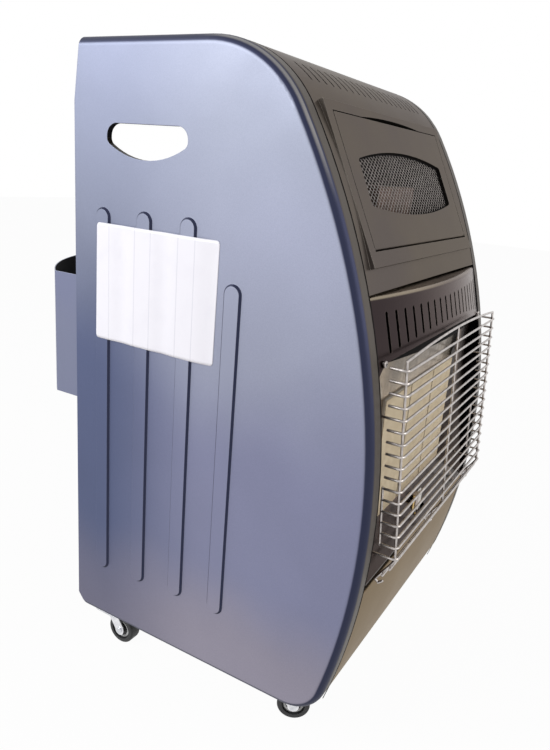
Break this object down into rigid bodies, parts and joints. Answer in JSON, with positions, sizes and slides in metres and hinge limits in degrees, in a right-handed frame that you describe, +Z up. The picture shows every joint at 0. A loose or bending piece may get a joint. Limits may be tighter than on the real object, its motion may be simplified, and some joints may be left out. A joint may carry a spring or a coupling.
{
  "type": "portable gas cabinet heater",
  "caption": "Free-standing gas cabinet heater on swivel casters, with bulged front, hinged window flap, slotted visor, ceramic radiant burners, wire guard and open-backed cylinder space.",
  "frame": {"origin": "on the floor, under the middle of the overall box", "axes": "+Z up, -Y out of the front, +X to the right seen from the front"},
  "size_m": [0.4253, 0.5539, 0.77],
  "materials": {
    "side_paint": "blue-grey metallic paint",
    "front_paint": "satin warm-grey metallic paint",
    "lower_paint": "satin warm-grey metallic paint",
    "visor_paint": "gloss dark heat-proof paint",
    "label_film": "blank white film",
    "mesh_steel": "expanded steel",
    "zinc_steel": "zinc plated",
    "polished_steel": "polished",
    "heat_tinted_steel": "heat-tinted",
    "chrome_wire": "bright",
    "brass_fittings": "turned",
    "cast_alloy": "as cast",
    "plaque_ceramic": "matt, fine holes",
    "white_ceramic": "glazed",
    "black_plastic": "fine texture",
    "grey_plastic": "fine texture",
    "lead_sleeve": "silicone sleeve",
    "wheel_rubber": "moulded"
  },
  "bodies": {
    "cabinet": {"side_panel_left": "side_paint", "side_panel_right": "side_paint", "label_plate": "label_film", "upper_panel": "front_paint", "flap_hinge_pins": "zinc_steel", "flap_magnet": "black_plastic", "reflector_hood": "visor_paint", "hood_screws": "chrome_wire", "lower_front_panel": "lower_paint", "reflector_box": "polished_steel", "burner_rail_top": "zinc_steel", "burner_rail_bottom": "zinc_steel", "gas_manifold": "zinc_steel", "injectors": "brass_fittings", "wire_guard": "chrome_wire", "heat_shield": "zinc_steel", "outlet_duct": "heat_tinted_steel", "base_tray": "zinc_steel", "rear_upper_panel": "side_paint", "control_plate": "black_plastic", "gas_valve": "cast_alloy", "igniter_body": "black_plastic", "inlet_nozzle": "brass_fittings", "gas_pipe_main": "zinc_steel", "gas_pipe_pilot": "zinc_steel", "thermocouple": "brass_fittings", "ignition_lead": "lead_sleeve", "pilot_burner": "polished_steel", "spark_electrode": "white_ceramic", "rear_panel_screws": "zinc_steel", "caster_plates": "zinc_steel", "caster_screws": "zinc_steel", "burner_body_left": "zinc_steel", "ceramic_plaque_left": "plaque_ceramic", "burner_body_centre": "zinc_steel", "ceramic_plaque_centre": "plaque_ceramic", "burner_body_right": "zinc_steel", "ceramic_plaque_right": "plaque_ceramic"},
    "outlet_flap": {"outlet_flap": "front_paint", "window_mesh": "mesh_steel"},
    "valve_stem": {"valve_stem": "zinc_steel"},
    "control_knob": {"control_knob": "black_plastic"},
    "igniter_button": {"igniter_button": "grey_plastic"},
    "rear_cover": {"rear_cover": "side_paint"},
    "caster_fork_front_left": {"caster_fork_front_left": "zinc_steel", "caster_axle_front_left": "zinc_steel"},
    "caster_wheel_front_left": {"caster_wheel_front_left": "wheel_rubber"},
    "caster_fork_front_right": {"caster_fork_front_right": "zinc_steel", "caster_axle_front_right": "zinc_steel"},
    "caster_wheel_front_right": {"caster_wheel_front_right": "wheel_rubber"},
    "caster_fork_rear_left": {"caster_fork_rear_left": "zinc_steel", "caster_axle_rear_left": "zinc_steel"},
    "caster_wheel_rear_left": {"caster_wheel_rear_left": "wheel_rubber"},
    "caster_fork_rear_right": {"caster_fork_rear_right": "zinc_steel", "caster_axle_rear_right": "zinc_steel"},
    "caster_wheel_rear_right": {"caster_wheel_rear_right": "wheel_rubber"}
  },
  "joints": [
    {"name": "flap_hinge", "type": "hinge", "parent": "cabinet", "child": "outlet_flap", "pos_m": [0, -0.20183, 0.5664], "axis": [1, 0, 0], "range_deg": [0, 70]},
    {"name": "valve_press", "type": "slide", "parent": "cabinet", "child": "valve_stem", "axis": [0, 0, -1], "range_m": [0, 0.005], "stiffness_N_per_m": 500, "springref_m": -0.004},
    {"name": "knob_turn", "type": "hinge", "parent": "valve_stem", "child": "control_knob", "pos_m": [-0.088, 0.035, 0.762], "axis": [0, 0, 1], "range_deg": [0, 180]},
    {"name": "igniter_press", "type": "slide", "parent": "cabinet", "child": "igniter_button", "axis": [0, 0, -1], "range_m": [0, 0.005], "stiffness_N_per_m": 600, "springref_m": -0.004},
    {"name": "rear_cover_lift", "type": "slide", "parent": "cabinet", "child": "rear_cover", "axis": [0, 0, 1], "range_m": [0, 0.015]},
    {"name": "swivel_front_left", "type": "hinge", "parent": "cabinet", "child": "caster_fork_front_left", "pos_m": [-0.174, -0.161, 0.043], "axis": [0, 0, 1], "continuous": true},
    {"name": "wheel_front_left", "type": "hinge", "parent": "caster_fork_front_left", "child": "caster_wheel_front_left", "pos_m": [-0.16711, -0.17577, 0.02], "axis": [0.9063, 0.4226, 0], "continuous": true},
    {"name": "swivel_front_right", "type": "hinge", "parent": "cabinet", "child": "caster_fork_front_right", "pos_m": [0.174, -0.161, 0.043], "axis": [0, 0, 1], "continuous": true},
    {"name": "wheel_front_right", "type": "hinge", "parent": "caster_fork_front_right", "child": "caster_wheel_front_right", "pos_m": [0.16711, -0.17577, 0.02], "axis": [0.9063, -0.4226, 0], "continuous": true},
    {"name": "swivel_rear_left", "type": "hinge", "parent": "cabinet", "child": "caster_fork_rear_left", "pos_m": [-0.184, 0.096, 0.043], "axis": [0, 0, 1], "continuous": true},
    {"name": "wheel_rear_left", "type": "hinge", "parent": "caster_fork_rear_left", "child": "caster_wheel_rear_left", "pos_m": [-0.184, 0.0797, 0.02], "axis": [1, 0, 0], "continuous": true},
    {"name": "swivel_rear_right", "type": "hinge", "parent": "cabinet", "child": "caster_fork_rear_right", "pos_m": [0.184, 0.096, 0.043], "axis": [0, 0, 1], "continuous": true},
    {"name": "wheel_rear_right", "type": "hinge", "parent": "caster_fork_rear_right", "child": "caster_wheel_rear_right", "pos_m": [0.184, 0.0797, 0.02], "axis": [1, 0, 0], "continuous": true}
  ]
}
